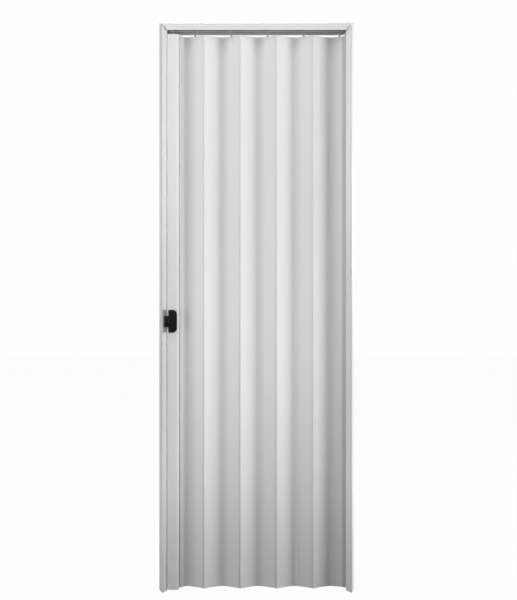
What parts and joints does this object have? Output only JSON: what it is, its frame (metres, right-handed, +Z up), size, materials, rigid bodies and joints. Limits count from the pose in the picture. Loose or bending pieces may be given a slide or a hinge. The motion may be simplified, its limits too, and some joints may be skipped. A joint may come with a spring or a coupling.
{
  "type": "accordion door",
  "caption": "Folding door of hollow plastic leaves on a top track, in a slim bevelled frame with a small latch, shown closed.",
  "frame": {"origin": "on the left jamb's flat wall face, at floor level, in the middle of the frame's depth", "axes": "+Z up, +X across the doorway to the right jamb, -Y towards the side that the picture shows"},
  "size_m": [0.72, 0.066, 2.1],
  "materials": {
    "frame_plastic": "satin white rigid plastic with a faint extrusion grain",
    "leaf_plastic": "satin white rigid plastic with a faint extrusion grain",
    "soft_hinge": "matt light grey flexible plastic",
    "post_plastic": "satin white rigid plastic",
    "track_metal": "mill-finished grey aluminium",
    "hanger_plastic": "grey moulded plastic",
    "latch_plastic": "satin black moulded plastic",
    "latch_steel": "plain steel"
  },
  "bodies": {
    "root": {"back_handle": "latch_plastic", "end_clip": "post_plastic", "front_handle": "latch_plastic", "hanger_1": "hanger_plastic", "hanger_2": "hanger_plastic", "hanger_3": "hanger_plastic", "hanger_4": "hanger_plastic", "hanger_5": "hanger_plastic", "hanger_6": "hanger_plastic", "head_channel": "frame_plastic", "latch_bolt": "latch_steel", "latch_keeper": "latch_plastic", "latch_spindle": "latch_steel", "leaf_01": "leaf_plastic", "leaf_02": "leaf_plastic", "leaf_03": "leaf_plastic", "leaf_04": "leaf_plastic", "leaf_05": "leaf_plastic", "leaf_06": "leaf_plastic", "leaf_07": "leaf_plastic", "leaf_08": "leaf_plastic", "leaf_09": "leaf_plastic", "leaf_10": "leaf_plastic", "left_jamb": "frame_plastic", "lock_post": "post_plastic", "post_bottom_cap": "post_plastic", "post_top_cap": "post_plastic", "right_jamb": "frame_plastic", "track_rail": "track_metal", "valley_hinge_1": "soft_hinge", "valley_hinge_2": "soft_hinge", "valley_hinge_3": "soft_hinge", "valley_hinge_4": "soft_hinge", "valley_hinge_5": "soft_hinge"}
  },
  "joints": []
}
